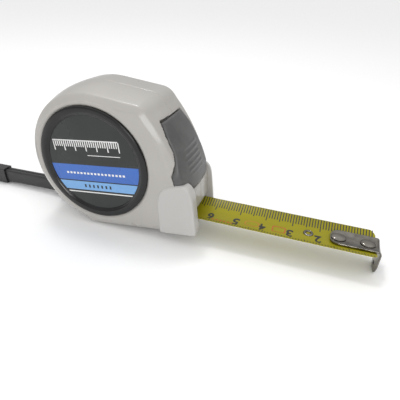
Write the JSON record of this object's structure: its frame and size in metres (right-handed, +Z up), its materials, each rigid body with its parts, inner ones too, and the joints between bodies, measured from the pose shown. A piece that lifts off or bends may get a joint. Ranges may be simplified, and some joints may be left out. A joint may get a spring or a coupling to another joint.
{
  "type": "pocket tape measure",
  "caption": "Pocket tape measure: rounded case, spring reel, curled steel blade with end hook, brake release on the front, belt clip and wrist strap.",
  "frame": {"origin": "centre of the footprint of the case and the drawn blade, on the table", "axes": "+X along the blade towards the hook, +Y from the label side to the clip side, +Z up; the case is tipped 7 degrees nose up on the heel of its base and the tip of the hook"},
  "size_m": [0.2953, 0.0386, 0.0547],
  "materials": {
    "case_plastic": "glossy moulded ABS",
    "black_plastic": "glossy moulded plastic",
    "label_film": "printed film under a clear gloss",
    "grip_rubber": "satin over-moulded rubber",
    "inner_plastic": "plain acetal",
    "blade_paint": "yellow lacquer with black print",
    "hook_steel": "nickel plated",
    "clip_steel": "plated spring steel",
    "screw_steel": "zinc plated",
    "spring_steel": "blued spring steel",
    "strap_webbing": "woven nylon tape"
  },
  "bodies": {
    "case": {"case_front": "case_plastic", "case_back": "case_plastic", "case_screws": "screw_steel", "label_ring": "black_plastic", "label_disc": "label_film", "back_disc": "label_film", "belt_clip": "clip_steel", "clip_screw": "screw_steel", "spring_post": "screw_steel", "blade_lead_in": "blade_paint", "button_pin": "screw_steel", "button_spring": "spring_steel", "strap_lug": "black_plastic", "strap_pin": "screw_steel", "strap_tab": "strap_webbing", "strap_clamp": "black_plastic", "strap_loop": "strap_webbing"},
    "reel": {"reel_drum": "inner_plastic", "drum_cover": "inner_plastic", "power_spring": "spring_steel", "blade_coil": "blade_paint"},
    "blade": {"blade": "blade_paint", "blade_eyelet": "hook_steel", "hook_rivets": "hook_steel"},
    "hook": {"hook": "hook_steel"},
    "brake": {"release_button": "grip_rubber", "brake_lever": "inner_plastic", "brake_shoe": "grip_rubber"}
  },
  "joints": [
    {"name": "blade_slide", "type": "slide", "parent": "case", "child": "blade", "axis": [1, 0, 0], "range_m": [-0.0637, 0], "deforming": ["blade", "blade_lead_in"]},
    {"name": "hook_slide", "type": "slide", "parent": "blade", "child": "hook", "axis": [1, 0, 0], "range_m": [-0.0008, 0]},
    {"name": "reel_spin", "type": "hinge", "parent": "case", "child": "reel", "pos_m": [-0.03823, 0, 0.0272], "axis": [0, 1, 0], "range_deg": [0, 196]},
    {"name": "button_press", "type": "hinge", "parent": "case", "child": "brake", "pos_m": [-0.01196, 0, 0.04302], "axis": [0, 1, 0], "range_deg": [0, 2.2], "stiffness_Nm_per_rad": 2, "springref_deg": -2.86, "deforming": ["button_spring"]}
  ],
  "couplings": [
    {"joint": "reel_spin", "follows": "blade_slide", "rad_per_m": -53.548}
  ]
}
